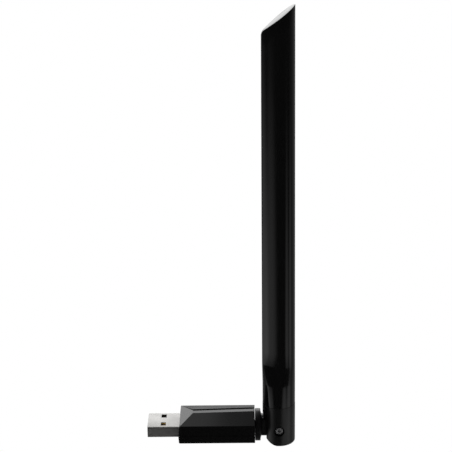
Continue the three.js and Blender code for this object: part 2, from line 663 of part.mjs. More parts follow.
class RadiatorPath extends THREE.Curve {
  getPoint(share, target = new THREE.Vector3()) {
    const coilShare = (share - LEAD_SHARE) / (1 - 2 * LEAD_SHARE);
    if (coilShare <= 0) {
      const z = mix([BALUN_TOP + 1.2, COIL_BOTTOM - COIL_LEAD], share / LEAD_SHARE);
      return target.set(0, 0, z);
    }
    if (coilShare >= 1) {
      const z = mix([COIL_TOP + COIL_LEAD, WIRE_TOP], (share - 1 + LEAD_SHARE) / LEAD_SHARE);
      return target.set(0, 0, z);
    }
    const grow = Math.min(1, coilShare / COIL_EASE, (1 - coilShare) / COIL_EASE);
    const radius = COIL_RADIUS * Math.sin(grow * Math.PI / 2);
    const angle = 2 * Math.PI * COIL_TURNS * coilShare;
    const z = mix([COIL_BOTTOM - COIL_LEAD, COIL_TOP + COIL_LEAD], coilShare);
    return target.set(radius * Math.cos(angle), radius * Math.sin(angle), z);
  }
  getPointAt(share, target) {
    return this.getPoint(share, target);
  }
  getTangentAt(share, target = new THREE.Vector3()) {
    const step = 0.002;
    const ahead = this.getPoint(Math.min(1, share + step));
    const behind = this.getPoint(Math.max(0, share - step));
    return target.copy(ahead).sub(behind).normalize();
  }
}

function radiatorWire() {
  const section = new THREE.Shape();
  section.absarc(0, 0, WIRE_RADIUS, 0, 2 * Math.PI);
  const options = {
    steps: 80, curveSegments: 4, bevelEnabled: false, extrudePath: new RadiatorPath(),
  };
  return solid(new THREE.ExtrudeGeometry(section, options));
}

function foamRing(z, bore) {
  return cut(rod('z', z, FOAM_RADIUS), rod('z', [z[0] - PAST, z[1] + PAST], bore, [0, 0], 16));
}

const antennaCoax = rod('z', [SLOT_DEPTH + 0.5, BALUN_TOP + 0.6], COAX_RADIUS, [0, 0], 12);
addPart('coax_in_antenna', antennaCoax, 'cable', antenna);
addPart('balun_tube', balunTube(), 'brass', antenna);
addPart('radiator_wire', radiatorWire(), 'copper', antenna);
addPart('foam_ring_lower', foamRing([36, 44], BALUN_RADIUS + 0.1), 'foam', antenna);
addPart('foam_ring_middle', foamRing([70, 76], WIRE_RADIUS + CABLE_FIT), 'foam', antenna);
addPart('foam_ring_upper', foamRing([138, 146], WIRE_RADIUS + CABLE_FIT), 'foam', antenna);

export default adapter;
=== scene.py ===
# %% [markdown]
# # A USB wireless adapter with a folding blade antenna
# The real object is a small glossy black stick with a USB-A plug in front, a swivel collar
# behind, and a tall black antenna that folds on a riveted hinge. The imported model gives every
# piece at its real size. Blender's work is the surface: fine rounded edges, finishes, and light.

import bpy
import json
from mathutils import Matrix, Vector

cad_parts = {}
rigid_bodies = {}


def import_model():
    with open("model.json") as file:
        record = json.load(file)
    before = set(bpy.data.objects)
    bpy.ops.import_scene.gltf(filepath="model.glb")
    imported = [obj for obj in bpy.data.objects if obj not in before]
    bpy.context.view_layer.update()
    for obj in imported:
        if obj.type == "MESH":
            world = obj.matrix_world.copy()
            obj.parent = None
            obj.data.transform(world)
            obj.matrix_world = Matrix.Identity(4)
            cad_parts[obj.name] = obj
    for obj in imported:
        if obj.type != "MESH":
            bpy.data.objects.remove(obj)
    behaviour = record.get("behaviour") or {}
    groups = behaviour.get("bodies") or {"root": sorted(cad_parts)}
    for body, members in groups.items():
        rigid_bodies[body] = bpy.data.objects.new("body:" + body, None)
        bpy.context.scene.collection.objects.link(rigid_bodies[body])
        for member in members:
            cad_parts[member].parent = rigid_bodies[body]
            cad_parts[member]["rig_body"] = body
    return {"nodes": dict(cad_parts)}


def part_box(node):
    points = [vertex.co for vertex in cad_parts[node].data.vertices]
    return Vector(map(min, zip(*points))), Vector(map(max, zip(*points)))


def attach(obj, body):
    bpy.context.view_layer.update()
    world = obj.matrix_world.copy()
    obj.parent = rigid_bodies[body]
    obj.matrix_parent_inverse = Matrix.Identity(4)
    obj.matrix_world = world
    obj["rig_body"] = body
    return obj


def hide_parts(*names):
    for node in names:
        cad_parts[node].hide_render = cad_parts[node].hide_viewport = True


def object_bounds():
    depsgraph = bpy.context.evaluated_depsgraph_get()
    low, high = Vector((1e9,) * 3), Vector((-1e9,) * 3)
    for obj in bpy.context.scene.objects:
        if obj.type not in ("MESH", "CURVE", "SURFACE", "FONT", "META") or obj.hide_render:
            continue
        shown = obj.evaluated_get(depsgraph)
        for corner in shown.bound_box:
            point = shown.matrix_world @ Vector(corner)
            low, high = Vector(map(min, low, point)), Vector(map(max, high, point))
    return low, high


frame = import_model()
cad_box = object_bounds()
nodes = frame["nodes"]

# %% Libraries and the unit
import json
import math

import bmesh
import bpy
from mathutils import Matrix, Vector

MM = 0.001
scene = bpy.context.scene

# %% [markdown]
# ## The camera
# A product shot of a tall thin thing is taken from above table height with a long lens. The
# camera is set by the point it aims at, its distance and three angles, so each can be read.

# %% Camera
AIM = Vector((31.95, 0.0, 83.9)) * MM
DISTANCE = 500.7 * MM
PITCH_DOWN = math.radians(20.37)
YAW_LEFT = math.radians(0.78)
ROLL = math.radians(-0.86)

forward = Vector((
    -math.sin(YAW_LEFT) * math.cos(PITCH_DOWN),
    math.cos(YAW_LEFT) * math.cos(PITCH_DOWN),
    -math.sin(PITCH_DOWN)))
level = Vector((math.cos(YAW_LEFT), math.sin(YAW_LEFT), 0.0))
upright = level.cross(forward)
right = level * math.cos(ROLL) + upright * math.sin(ROLL)
up = upright * math.cos(ROLL) - level * math.sin(ROLL)

camera_data = bpy.data.cameras.new("camera")
camera_data.sensor_width = 36.0
camera_data.lens = 106.5
camera_data.clip_start = 0.01
camera_data.clip_end = 20.0
camera = bpy.data.objects.new("camera", camera_data)
scene.collection.objects.link(camera)
turn = Matrix((right, up, -forward)).transposed()
camera.matrix_world = Matrix.Translation(AIM - forward * DISTANCE) @ turn.to_4x4()
scene.camera = camera
scene.view_settings.view_transform = "Standard"
print("camera at", [round(value / MM, 1) for value in camera.location], "mm")

# %% [markdown]
# ## Helpers for materials
# Colours are written as the sRGB hex values of a swatch and turned to the linear values that
# the renderer works in. One small function adds any node, sets its inputs and makes its links.

# %% Colour and node helpers
def linear(hex_value):
    channels = [(hex_value >> shift & 255) / 255 for shift in (16, 8, 0)]
    return tuple(c / 12.92 if c <= 0.04045 else ((c + 0.055) / 1.055) ** 2.4 for c in channels)


def colour(hex_value):
    return (*linear(hex_value), 1.0)


def add(tree, kind, inputs=None, **settings):
    node = tree.nodes.new(kind)
    for name, value in settings.items():
        setattr(node, name, value)
    for key, value in (inputs or {}).items():
        if isinstance(value, bpy.types.NodeSocket):
            tree.links.new(value, node.inputs[key])
        else:
            node.inputs[key].default_value = value
    return node


# %% [markdown]
# ## A surface recipe
# Every finish here is a base colour that varies a little, a roughness that varies a little, and
# a fine bump. The grain is a noise whose size is given in millimetres, and can be stretched along
# one axis for brushed or rolled metal. Object coordinates are metres, so 1 / grain is the scale.

# %% Finish maker
def finish(name, tones, roughness, grain, bump, metallic=0.0, ior=None, stretch=(1, 1, 1),
           wear=0.0, sheen=0.0):
    material = bpy.data.materials.new(name)
    material.use_nodes = True
    tree = material.node_tree
    shader = tree.nodes["Principled BSDF"]
    place = add(tree, "ShaderNodeTexCoord").outputs["Object"]
    mapped = add(tree, "ShaderNodeMapping", {"Vector": place, "Scale": stretch}).outputs[0]
    fine = add(tree, "ShaderNodeTexNoise", {
        "Vector": mapped, "Scale": 1 / (grain * MM), "Detail": 4.0}).outputs["Fac"]
    broad = add(tree, "ShaderNodeTexNoise", {
        "Vector": place, "Scale": 1 / (12 * MM), "Detail": 2.0}).outputs["Fac"]
    tone = add(tree, "ShaderNodeMix", {
        "Factor": fine, "A": colour(tones[0]), "B": colour(tones[1])}, data_type="RGBA")
    tree.links.new(tone.outputs["Result"], shader.inputs["Base Color"])
    spread = add(tree, "ShaderNodeMapRange", {
        "Value": broad, "From Min": 0.3, "From Max": 0.7,
        "To Min": roughness[0], "To Max": roughness[1]}).outputs[0]
    if wear:
        worn = add(tree, "ShaderNodeMapRange", {
            "Value": fine, "From Min": 0.55, "From Max": 0.75, "To Min": 0.0, "To Max": wear})
        spread = add(tree, "ShaderNodeMath", {0: spread, 1: worn.outputs[0]},
                     operation="ADD").outputs[0]
    tree.links.new(spread, shader.inputs["Roughness"])
    shader.inputs["Metallic"].default_value = metallic
    if ior:
        shader.inputs["IOR"].default_value = ior
    if sheen:
        shader.inputs["Sheen Weight"].default_value = sheen
    relief = add(tree, "ShaderNodeBump", {
        "Height": fine, "Strength": 1.0, "Distance": bump * MM})
    tree.links.new(relief.outputs[0], shader.inputs["Normal"])
    return material


# %% [markdown]
# ## The black plastics
# The housing and the antenna sleeve are ABS moulded in polished steel tools: a deep black with a
# mirror-like skin and a trace of waviness from the flow of the melt, about 2 mm across. The
# hinge parts come from a spark-eroded tool, which leaves a fine even grain and a soft highlight.
# The real grain is about 0.1 mm; it is drawn at 0.25 mm so that it shows at all.

# %% Plastics
polished_abs = finish("polished_black_abs", (0x040404, 0x070707), (0.10, 0.16), 2.0, 0.0012,
                      ior=1.53)
grained_abs = finish("spark_grained_black_abs", (0x0a0a0a, 0x0f0f0f), (0.27, 0.35), 0.25, 0.006,
                     ior=1.53)
acetal = finish("moulded_acetal", (0xd4d3cc, 0xdcdbd4), (0.35, 0.45), 0.5, 0.002, ior=1.48)
pbt = finish("moulded_white_pbt", (0xe0ded6, 0xe8e6df), (0.42, 0.52), 0.4, 0.003, ior=1.55)
print("plastics:", polished_abs.name, grained_abs.name, acetal.name, pbt.name)

# %% [markdown]
# ## The metals
# The plug shell is folded from nickel-plated steel strip. Rolling leaves faint streaks along the
# strip, and the plating softens them. The hinge rivet is bare turned steel. Both are a little
# less than fully metallic: handled metal scatters some light, and 0.9 was matched.

# %% Metals
nickel = finish("rolled_nickel_plate", (0xb0afad, 0xc0bfbd), (0.34, 0.44), 0.25, 0.0015,
                metallic=0.9, stretch=(0.12, 1, 1), wear=0.12)
steel = finish("turned_steel", (0xb9b9ba, 0xcfcfd0), (0.30, 0.40), 0.15, 0.001,
               metallic=0.9, stretch=(1, 0.2, 1))
tin = finish("tinned_sheet", (0xb0b3b6, 0xc2c5c8), (0.28, 0.40), 0.3, 0.002,
             metallic=1.0, stretch=(0.2, 1, 1))
gold = finish("hard_gold_plate", (0x97793c, 0xa4864a), (0.38, 0.48), 0.2, 0.001,
              metallic=1.0, stretch=(0.2, 1, 1))
brass = finish("drawn_brass", (0xa98746, 0xb8954f), (0.25, 0.36), 0.3, 0.002,
               metallic=1.0, stretch=(1, 1, 0.1))
copper = finish("drawn_copper", (0xa85f38, 0xba6d44), (0.25, 0.35), 0.2, 0.001,
                metallic=1.0, stretch=(1, 1, 0.1))
print("metals:", nickel.name, steel.name, tin.name, gold.name, brass.name, copper.name)

# %% [markdown]
# ## What is inside
# These pieces are hidden in the closed adapter, but each still has its own real finish: the
# board's green mask over glass cloth, moulded chips, ceramic capacitors, extruded cable jacket
# and open foam.

# %% Inner finishes
solder_mask = finish("solder_mask_on_glass_cloth", (0x1a5230, 0x22623a), (0.30, 0.40), 0.6, 0.004)
mould_compound = finish("chip_mould_compound", (0x161618, 0x1f1f22), (0.45, 0.55), 0.12, 0.003)
ceramic = finish("fired_ceramic", (0x9c7f5c, 0xb08f6a), (0.45, 0.55), 0.15, 0.003)
jacket = finish("extruded_cable_jacket", (0x262628, 0x303032), (0.42, 0.52), 0.3, 0.003,
                stretch=(1, 1, 0.2))
foam = finish("open_cell_foam", (0xd6d4cc, 0xe6e4dd), (0.85, 0.95), 0.4, 0.08, sheen=0.2)

INNER_FINISHES = {
    "contact_": gold, "circuit_board": solder_mask, "radio_chip": mould_compound,
    "shield_can": tin, "crystal": tin, "voltage_regulator": mould_compound,
    "power_inductor": mould_compound, "capacitor_": ceramic, "coax_clamp": brass,
    "coax_in_": jacket, "swivel_washer": acetal, "hinge_washer_": acetal, "balun_tube": brass,
    "radiator_wire": copper, "foam_ring_": foam, "plug_insulator": pbt,
}
for start, material in INNER_FINISHES.items():
    matching = [node for name, node in nodes.items() if name.startswith(start)]
    for node in matching:
        node.data.materials.clear()
        node.data.materials.append(material)
    print(material.name, "on", len(matching), "nodes")

# %% [markdown]
# ## Building a skin from rings
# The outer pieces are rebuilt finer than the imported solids. A skin is a stack of rings with the
# same number of points, joined by quads and closed at both ends. Hard edges are then rounded by
# a small bevel, because every moulded or folded edge catches a thin line of light.

# %% Skin helpers
def mesh_piece(name, bm):
    bmesh.ops.remove_doubles(bm, verts=bm.verts, dist=1e-7)
    bmesh.ops.recalc_face_normals(bm, faces=bm.faces)
    mesh = bpy.data.meshes.new(name)
    bm.to_mesh(mesh)
    bm.free()
    piece = bpy.data.objects.new(name, mesh)
    scene.collection.objects.link(piece)
    return piece


def skin(name, rings, closed_loop=False):
    bm = bmesh.new()
    rows = [[bm.verts.new(Vector(point) * MM) for point in ring] for ring in rings]
    count = len(rows[0])
    pairs = list(zip(rows, rows[1:] + rows[:1] if closed_loop else rows[1:]))
    for low, high in pairs:
        for i in range(count):
            j = (i + 1) % count
            bm.faces.new((low[i], low[j], high[j], high[i]))
    if not closed_loop:
        bm.faces.new(rows[0])
        bm.faces.new(rows[-1])
    return mesh_piece(name, bm)


def apply_modifiers(piece):
    graph = bpy.context.evaluated_depsgraph_get()
    graph.update()
    mesh = bpy.data.meshes.new_from_object(piece.evaluated_get(graph))
    piece.modifiers.clear()
    piece.data = mesh


def combine(piece, others, operation):
    for other in others:
        modifier = piece.modifiers.new("boolean", "BOOLEAN")
        modifier.operation = operation
        modifier.solver = "EXACT"
        modifier.object = other
    apply_modifiers(piece)
    for other in others:
        bpy.data.objects.remove(other)
    return piece


def ease_edges(piece, width, segments=3, sharper_than=32):
    modifier = piece.modifiers.new("eased_edges", "BEVEL")
    modifier.width = width * MM
    modifier.segments = segments
    modifier.limit_method = "ANGLE"
    modifier.angle_limit = math.radians(sharper_than)
    modifier.use_clamp_overlap = True
    modifier.miter_outer = "MITER_ARC"
    modifier.harden_normals = True
    piece.data.shade_smooth()
    apply_modifiers(piece)
    return piece


# %% Giving a piece its place in the frame
def install(piece, material):
    body = nodes[piece.name.replace("fine_", "")]["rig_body"]
    piece.data.materials.clear()
    piece.data.materials.append(material)
    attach(piece, body)
    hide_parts(piece.name.replace("fine_", ""))
    size = [round(value / MM, 2) for value in piece.dimensions]
    print(piece.name, "rides on", body, "-", len(piece.data.polygons), "faces,", size, "mm")


# %% [markdown]
# ## Round and rectangular rings
# Turned pieces are circles along an axis, and the plug is a rectangle with round corners.

# %% Ring shapes
def circle_ring(axis, at, radius, centre=(0.0, 0.0), sides=96):
    ring = []
    for k in range(sides):
        angle = 2 * math.pi * k / sides
        u = centre[0] + radius * math.cos(angle)
        v = centre[1] + radius * math.sin(angle)
        ring.append({"x": (at, u, v), "y": (u, at, v), "z": (u, v, at)}[axis])
    return ring


def rod(name, axis, span, radius, centre=(0.0, 0.0), sides=96):
    return skin(name, [circle_ring(axis, at, radius, centre, sides) for at in span])


def turned(name, axis, profile, centre=(0.0, 0.0), sides=96):
    return skin(name, [circle_ring(axis, at, radius, centre, sides) for at, radius in profile])


def rounded_ring(x, half_width, half_height, corner, steps=6):
    ring = []
    corners = ((1, 1, 0), (-1, 1, 90), (-1, -1, 180), (1, -1, 270))
    for side_y, side_z, start in corners:
        for k in range(steps + 1):
            angle = math.radians(start + 90 * k / steps)
            ring.append((
                x,
                side_y * (half_width - corner) + corner * math.cos(angle),
                side_z * (half_height - corner) + corner * math.sin(angle)))
    return ring


def block(name, x, y, z):
    ring = [(y[0], z[0]), (y[1], z[0]), (y[1], z[1]), (y[0], z[1])]
    return skin(name, [[(at, *point) for point in ring] for at in x])


# %% [markdown]
# ## The plug shell
# A real USB-A shell is one strip of steel folded into a box: its corners are rounded by the
# fold, its mouth has a thin rolled lip, and the seam is on the underside. Two windows in the
# top and two in the bottom take the springs of the socket.

# %% Plug sizes
_, plug_high = (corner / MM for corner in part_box("plug_shell"))
PLUG_HALF_WIDTH = plug_high.y
PLUG_HALF_HEIGHT = plug_high.z
PLUG_END = plug_high.x
PLUG_CORNER = 0.6
PLUG_WALL = 0.3
LIP_ROUND = 0.12
WINDOW_X = (5.16, 7.16)
WINDOW_CENTRE_Y = 3.25
WINDOW_HALF_WIDTH = 1.25
SEAM_WIDTH = 0.08
SEAM_DEPTH = 0.12
print("plug:", round(2 * PLUG_HALF_WIDTH, 2), "x", round(2 * PLUG_HALF_HEIGHT, 2), "mm")


# %% Plug shell
def plug_ring(x, inset):
    return rounded_ring(
        x, PLUG_HALF_WIDTH - inset, PLUG_HALF_HEIGHT - inset, max(PLUG_CORNER - inset, 0.2))


lip = [(LIP_ROUND * (1 - math.sin(a)), LIP_ROUND * (1 - math.cos(a)))
       for a in (math.radians(step * 22.5) for step in range(5))]
outer = [plug_ring(x, inset) for x, inset in reversed(lip)]
inner = [plug_ring(x, PLUG_WALL - inset) for x, inset in lip]
plug = skin("fine_plug_shell", [
    *outer, plug_ring(PLUG_END, 0), plug_ring(PLUG_END, PLUG_WALL), *inner], closed_loop=True)
windows = [
    block("window", WINDOW_X,
          (side * WINDOW_CENTRE_Y - WINDOW_HALF_WIDTH, side * WINDOW_CENTRE_Y + WINDOW_HALF_WIDTH),
          (-4, 4))
    for side in (-1, 1)]
seam = block("seam", (-1, PLUG_END + 1), (-SEAM_WIDTH / 2, SEAM_WIDTH / 2),
             (-PLUG_HALF_HEIGHT - 1, -PLUG_HALF_HEIGHT + SEAM_DEPTH))
combine(plug, [*windows, seam], "DIFFERENCE")
ease_edges(plug, 0.04, segments=2, sharper_than=50)
install(plug, nickel)

# %% [markdown]
# ## The housing shells
# The upper shell is a box with a roof of flat facets: two long slopes, a sloped hip over the
# plug, and a centre band sunk between them. Each facet is one flat polygon, so the gloss shows
# a clean change of tone from one to the next, and the eased edges catch the light.

# %% Housing sizes
upper_low, upper_high = (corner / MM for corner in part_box("upper_shell"))
lower_low, _ = (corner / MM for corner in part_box("lower_shell"))
FRONT = upper_low.x
BACK = upper_high.x
HALF = upper_high.y
SEAM_LINE = -0.15
SHOULDER = 3.98
FRONT_LEAN = 0.5
SIDE_DRAFT = 0.3
SPINE_X = (17.75, BACK - 0.35)
SPINE_Z = (6.1, 6.75)
SPINE_HALF = 1.5
SINK = 0.35
WALL = 1.2


# %% Upper shell
def facets(name, corners, faces):
    bm = bmesh.new()
    made = {key: bm.verts.new(Vector(point) * MM) for key, point in corners.items()}
    for face in faces:
        bm.faces.new([made[key] for key in face.split()])
    return mesh_piece(name, bm)


def both_sides(points):
    mirrored = {}
    for key, (x, y, z) in points.items():
        mirrored[key + "n"] = (x, -y, z)
        mirrored[key + "f"] = (x, y, z)
    return mirrored


upper_corners = both_sides({
    "a": (FRONT, HALF, SEAM_LINE), "b": (BACK, HALF, SEAM_LINE),
    "c": (FRONT + FRONT_LEAN, HALF - SIDE_DRAFT, SHOULDER),
    "d": (BACK, HALF - SIDE_DRAFT, SHOULDER),
    "e": (SPINE_X[0], SPINE_HALF, SPINE_Z[0]), "f": (SPINE_X[1], SPINE_HALF, SPINE_Z[1]),
    "g": (SPINE_X[0], SPINE_HALF, SPINE_Z[0] - SINK),
    "h": (SPINE_X[1], SPINE_HALF, SPINE_Z[1] - SINK)})
upper = facets("fine_upper_shell", upper_corners, [
    "an af cf cn", "an cn dn bn", "af bf df cf", "cn en fn dn", "cf df ff ef",
    "cn cf gf gn", "gn gf hf hn", "cn gn en", "cf ef gf", "en gn hn fn", "ef ff hf gf",
    "bn dn fn hn hf ff df bf", "an bn bf af"])
ease_edges(upper, 0.09, segments=3, sharper_than=14)
CEILING = 0.65
room = facets("room", both_sides({
    "a": (FRONT + WALL, HALF - WALL, -2), "b": (BACK - WALL, HALF - WALL, -2),
    "c": (FRONT + WALL + 0.6, HALF - WALL - SIDE_DRAFT, SHOULDER - CEILING),
    "d": (BACK - WALL, HALF - WALL - SIDE_DRAFT, SHOULDER - CEILING)}), [
        "an af cf cn", "an cn dn bn", "af bf df cf", "cn cf df dn", "bn dn df bf",
        "an bn bf af"])
PLUG_GAP = 0.1
NECK_BORE = 2.1


def plug_opening():
    half_width, half_height = PLUG_HALF_WIDTH + PLUG_GAP, PLUG_HALF_HEIGHT + PLUG_GAP
    return skin("opening", [
        rounded_ring(x, half_width, half_height, PLUG_CORNER + PLUG_GAP)
        for x in (FRONT - 1, FRONT + WALL + 1)])


combine(upper, [room, plug_opening(), rod("neck", "x", (BACK - WALL - 1, BACK + 1), NECK_BORE)],
        "DIFFERENCE")
install(upper, polished_abs)

# %% [markdown]
# ## The lower shell
# A shallow tray with a small bevel round its sole. It closes against the upper shell with a
# hairline gap, which reads as the fine dark line round the housing.

# %% Lower shell
SOLE = lower_low.z
lower = facets("fine_lower_shell", both_sides({
    "a": (FRONT, HALF, -0.25), "b": (BACK, HALF, -0.25),
    "c": (FRONT + 0.2, HALF - 0.12, SOLE + 0.4), "d": (BACK, HALF - 0.12, SOLE + 0.4),
    "e": (FRONT + 0.5, HALF - 0.5, SOLE), "f": (BACK - 0.12, HALF - 0.5, SOLE)}), [
        "an cn cf af", "an bn dn cn", "af cf df bf", "bn bf df dn", "cn dn fn en",
        "cf ef ff df", "cn en ef cf", "dn df ff fn", "en fn ff ef", "an af bf bn"])
ease_edges(lower, 0.07, segments=3, sharper_than=14)
tray = block("tray", (FRONT + WALL, BACK - WALL), (WALL - HALF, HALF - WALL), (SOLE + 1.02, 2))
combine(lower, [tray, plug_opening(), rod("neck", "x", (BACK - WALL - 1, BACK + 1), NECK_BORE)],
        "DIFFERENCE")
# A thin rib inside each long wall locates the upper shell and stops light in the seam
RIB_Y = (7.35, 7.75)
RIB_TOP = 0.4
ribs = [block("rib", (FRONT + 1.4, BACK - 1.4), sorted((side * RIB_Y[0], side * RIB_Y[1])),
              (SOLE + 0.5, RIB_TOP)) for side in (-1, 1)]
combine(lower, ribs, "UNION")
install(lower, polished_abs)

# %% [markdown]
# ## The swivel
# The collar, hub and hinge tongue are one black moulding that turns in the housing's back wall.
# Its round parts are turned as profiles, and the tongue is a bar cut to a flat slab. Two scallops
# beside the tongue leave room for the antenna's ears to fold past.

# %% Sizes of the swivel and the hinge, read from the frame
pin_low, pin_high = (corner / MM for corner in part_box("hinge_pin"))
PIN_X = (pin_low.x + pin_high.x) / 2
PIN_RADIUS = (pin_high.x - pin_low.x) / 2
PIN_HALF_LENGTH = pin_high.y
_, fork_high = (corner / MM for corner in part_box("hinge_fork"))
FOOT_RADIUS = fork_high.y
SPIGOT_TOP = fork_high.z
sleeve_low, sleeve_high = (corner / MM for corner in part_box("antenna_sleeve"))
FOOT_TOP = sleeve_low.z - 0.05
SLEEVE_RADIUS = sleeve_high.y
swivel_low, swivel_high = (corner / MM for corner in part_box("swivel_base"))
COLLAR_RADIUS = swivel_high.z
COLLAR_X = (42.3, 44.4)
HUB_RADIUS = 4.4
HUB_END = COLLAR_X[1] + 2.2
FLANGE_RADIUS = 2.55
FLANGE_BACK = 40.0
NECK_RADIUS = 1.8
CABLE_BORE = 0.85
LUG_HALF_WIDTH = 0.6
LUG_Z = (1.5, 3.1)
CONE_FLARE = 1.1
CONE_LENGTH = 0.35
NUB_RADIUS = 0.95
NUB_AHEAD = 1.15
NUB_CENTRE = (-2.05, 3.25)
CHANNEL_START = 46.8
CHANNEL_HALF = 0.9
RUNNING_GAP = 0.3
TONGUE_HALF = 2.8
TONGUE_END_RADIUS = 4.7
SWEEP_RADIUS = FOOT_RADIUS + 0.35
print("pin at", round(PIN_X, 2), "mm, foot radius", round(FOOT_RADIUS, 2), "mm")


# %% A side plate: an outline in X and Z, given a thickness along Y
def plate(name, outline, y):
    return skin(name, [[(x, at, z) for x, z in outline] for at in y])


def arc(centre, radius, start, end, steps):
    points = []
    for k in range(steps + 1):
        angle = math.radians(start + (end - start) * k / steps)
        points.append((centre[0] + radius * math.cos(angle), centre[1] + radius * math.sin(angle)))
    return points


def shade_edges(piece, sharper_than=30):
    piece.data.shade_smooth()
    piece.data.set_sharp_from_angle(angle=math.radians(sharper_than))
    return piece


# %% Swivel base
# Solids that share a surface leave doubled faces when joined, so each differs by APART.
APART = 0.02
RIM = 0.25
front_rim = arc((COLLAR_X[0] + RIM, COLLAR_RADIUS - RIM), RIM, 180, 90, 4)
back_rim = arc((COLLAR_X[1] - RIM, COLLAR_RADIUS - RIM), RIM, 90, 0, 4)
swivel = turned("fine_swivel_base", "x", [
    (swivel_low.x, FLANGE_RADIUS), (FLANGE_BACK, FLANGE_RADIUS), (FLANGE_BACK, NECK_RADIUS),
    (COLLAR_X[0], NECK_RADIUS), *front_rim, *back_rim, (COLLAR_X[1], HUB_RADIUS + CONE_FLARE),
    (COLLAR_X[1] + CONE_LENGTH, HUB_RADIUS), (HUB_END, HUB_RADIUS)])
scallops = []
for side in (-1, 1):
    y = sorted((side * TONGUE_HALF, side * 8))
    scallops.append(rod("sweep", "y", y, SWEEP_RADIUS, (PIN_X, 0)))
    scallops.append(block("under", (PIN_X - SWEEP_RADIUS + APART, PIN_X), y, (-9, 0.3)))
combine(swivel, scallops, "DIFFERENCE")
slab_half = TONGUE_HALF - APART
tongue = rod("tongue", "x", (COLLAR_X[1] - 0.7, PIN_X - 1), HUB_RADIUS - APART)
slab = block("slab", (COLLAR_X[1] - 2, PIN_X), (-slab_half, slab_half), (-6, 6))
combine(tongue, [slab], "INTERSECT")
END_EASE = 0.2
end_half = TONGUE_HALF - 2 * APART
round_end = turned("round_end", "y", [
    (-end_half, TONGUE_END_RADIUS - END_EASE), (END_EASE - end_half, TONGUE_END_RADIUS),
    (end_half - END_EASE, TONGUE_END_RADIUS), (end_half, TONGUE_END_RADIUS - END_EASE)],
    (PIN_X, 0))
nub = turned("nub", "x", [
    (COLLAR_X[1] + NUB_AHEAD - x, radius) for x, radius in arc((0, 0), NUB_RADIUS, 6, 174, 12)],
    NUB_CENTRE, 24)
lug = block("lug", (swivel_low.x + APART, FLANGE_BACK - APART),
            (-LUG_HALF_WIDTH, LUG_HALF_WIDTH), LUG_Z)
combine(swivel, [tongue, round_end, nub, lug], "UNION")
combine(swivel, [
    rod("cable", "x", (swivel_low.x - 1, PIN_X), CABLE_BORE),
    block("channel", (CHANNEL_START, PIN_X + 7), (-CHANNEL_HALF, CHANNEL_HALF), (0, 7)),
    rod("pin_hole", "y", (-8, 8), PIN_RADIUS + RUNNING_GAP, (PIN_X, 0))], "DIFFERENCE")
shade_edges(swivel)
install(swivel, grained_abs)

# %% [markdown]
# ## The rivet and the fork
# The antenna's round foot is split into two ears that straddle the tongue. Its lower front corner
# is rounded about the rivet, which is what lets it fold back through a quarter turn. The rivet is
# turned steel with a rolled rim and a drilled end, and it sits in a round recess.

# %% Hinge pin
RIM_ROLL = 0.28
DRILL = 0.55
DRILL_DEPTH = 1.0
near_end = [(DRILL, PIN_HALF_LENGTH - DRILL_DEPTH), (DRILL, PIN_HALF_LENGTH - 0.2),
            (DRILL + 0.12, PIN_HALF_LENGTH - 0.04), (DRILL + 0.28, PIN_HALF_LENGTH)]
near_end += [(radius, y) for radius, y in arc(
    (PIN_RADIUS - RIM_ROLL, PIN_HALF_LENGTH - RIM_ROLL), RIM_ROLL, 90, 0, 5)]
pin = turned("fine_hinge_pin", "y", [
    *[(-y, radius) for radius, y in near_end],
    *[(y, radius) for radius, y in reversed(near_end)]], (PIN_X, 0), 72)
shade_edges(pin)
install(pin, steel)

# %% Hinge fork
SPIGOT_RADIUS = 4.5
SLOT_HALF = 3.2
SLOT_DEPTH = 5.1
FOOT_EASE = 0.2
TOP_EASE = 0.04
RECESS_RADIUS = 2.1
RECESS_FLOOR = 5.3
WASHER_BED = (SLOT_HALF + 0.7, 3.6)
HOLLOW_RADIUS = 3.3
FORK_CABLE_BORE = 1.5
PIN_FIT = 0.1
PAST = 9
EAR_RELIEF = ((-9, -9), (-5.08, -9), (-4.83, 2.8), (-6.48, 5.9), (-9, 6.4))
foot_rim = [(z, radius) for radius, z in arc(
    (FOOT_RADIUS - FOOT_EASE, FOOT_EASE - FOOT_RADIUS), FOOT_EASE, -90, 0, 4)]
fork = turned("fine_hinge_fork", "z", [
    *foot_rim, (FOOT_TOP - TOP_EASE, FOOT_RADIUS), (FOOT_TOP, FOOT_RADIUS - TOP_EASE),
    (FOOT_TOP, SPIGOT_RADIUS), (SPIGOT_TOP, SPIGOT_RADIUS)], (PIN_X, 0), 128)
corner = plate("corner", [
    *[(PIN_X + x, z) for x, z in arc((0, 0), FOOT_RADIUS, 180, 270, 32)],
    (PIN_X, -PAST), (PIN_X - PAST, -PAST), (PIN_X - PAST, 0)], (-PAST, PAST))
relief = plate("relief", [(PIN_X + x, z) for x, z in EAR_RELIEF], (-PAST, PAST))
combine(fork, [
    corner, relief,
    block("slot", (PIN_X - PAST, PIN_X + SLOT_DEPTH), (-SLOT_HALF, SLOT_HALF),
          (-PAST, SLOT_DEPTH)),
    rod("bed", "y", (-WASHER_BED[0], WASHER_BED[0]), WASHER_BED[1], (PIN_X, 0)),
    rod("bore", "y", (-PAST, PAST), PIN_RADIUS + PIN_FIT, (PIN_X, 0)),
    rod("near_recess", "y", (-PAST, -RECESS_FLOOR), RECESS_RADIUS, (PIN_X, 0)),
    rod("far_recess", "y", (RECESS_FLOOR, PAST), RECESS_RADIUS, (PIN_X, 0)),
    rod("cable", "z", (SLOT_DEPTH - 1, FOOT_TOP + 3), FORK_CABLE_BORE, (PIN_X, 0)),
    rod("hollow", "z", (FOOT_TOP + 2, SPIGOT_TOP + 1), HOLLOW_RADIUS, (PIN_X, 0))],
    "DIFFERENCE")
shade_edges(fork)
install(fork, grained_abs)

